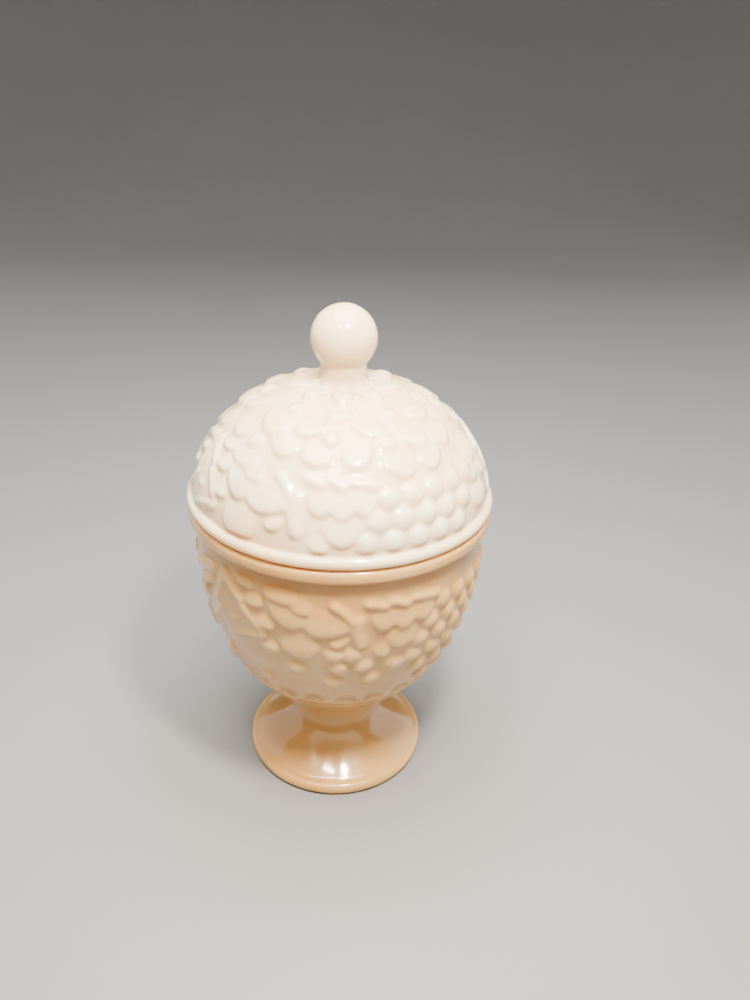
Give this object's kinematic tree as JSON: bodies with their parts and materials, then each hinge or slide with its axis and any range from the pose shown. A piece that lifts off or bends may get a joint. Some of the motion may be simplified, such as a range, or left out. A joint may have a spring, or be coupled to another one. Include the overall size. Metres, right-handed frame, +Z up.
{
  "type": "cosmetic cream jar",
  "caption": "Footed round cream jar in opaque white glass with raised grape and leaf relief, and a domed lift-off lid with a ball knob and a plug seal.",
  "frame": {"origin": "on the table under the middle of the foot", "axes": "+Z up along the jar's axis of revolution; X and Y across it"},
  "size_m": [0.075, 0.075, 0.1267],
  "materials": {
    "jar_glass": "opaque milk glass, fire-polished gloss",
    "lid_glass": "opaque milk glass, fire-polished gloss",
    "seal_plastic": "moulded natural polyethylene, slightly translucent"
  },
  "bodies": {
    "jar": {"jar_body": "jar_glass"},
    "seal": {"seal_ring": "seal_plastic"},
    "lid": {"lid": "lid_glass"}
  },
  "joints": [
    {"name": "lid_lift", "type": "slide", "parent": "jar", "child": "seal", "axis": [0, 0, 1], "range_m": [0, 0.08]},
    {"name": "lid_turn", "type": "hinge", "parent": "seal", "child": "lid", "pos_m": [0, 0, 0.0799], "axis": [0, 0, 1], "continuous": true}
  ]
}
